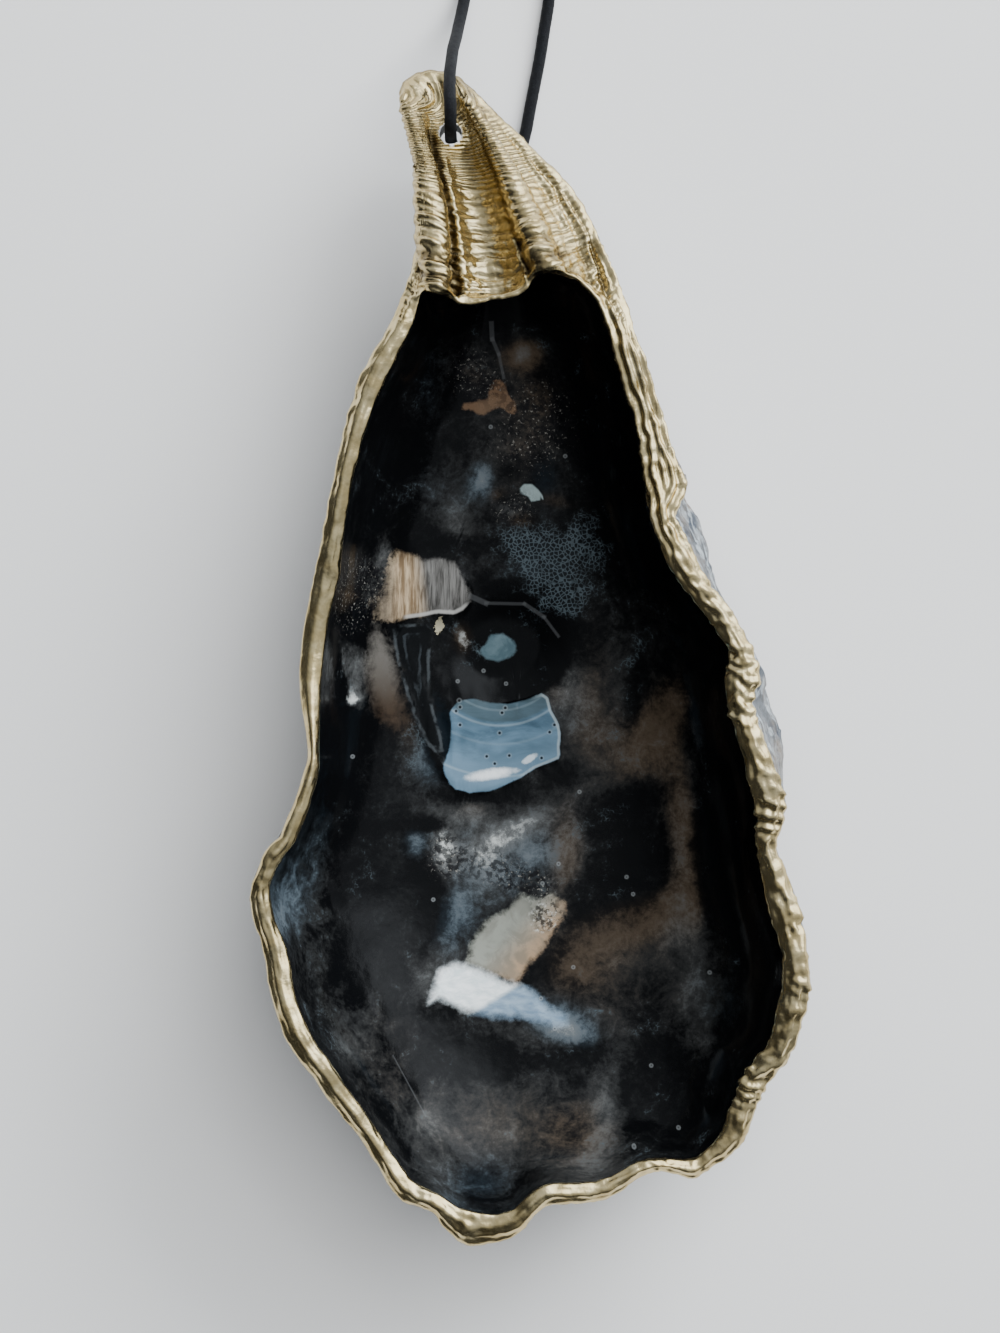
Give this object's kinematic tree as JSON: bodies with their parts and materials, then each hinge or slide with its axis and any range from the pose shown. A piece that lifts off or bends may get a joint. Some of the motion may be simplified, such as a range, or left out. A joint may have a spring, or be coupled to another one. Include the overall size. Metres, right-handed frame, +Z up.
{
  "type": "oyster shell",
  "caption": "Cupped valve of a large oyster with a gilded rim and hinge and a dark marbled inside, drilled near the beak and hung on a knotted loop of waxed cord.",
  "frame": {"origin": "on the resting surface, under the middle of the shell's bounding box, cord left out", "axes": "+Z up out of the cup, +Y along the shell toward the hinge and beak, +X to the right seen from above with the beak at the top"},
  "size_m": [0.066, 0.2031, 0.0269],
  "materials": {
    "shell": "natural shell, chalky grey and white outside; dark marbled inside under clear gloss varnish; rim and hinge plate painted metallic gold",
    "cord": "black waxed cotton cord, slightly fuzzy"
  },
  "bodies": {
    "root": {"shell": "shell", "cord_front": "cord", "cord_back": "cord", "cord_knot": "cord"}
  },
  "joints": []
}
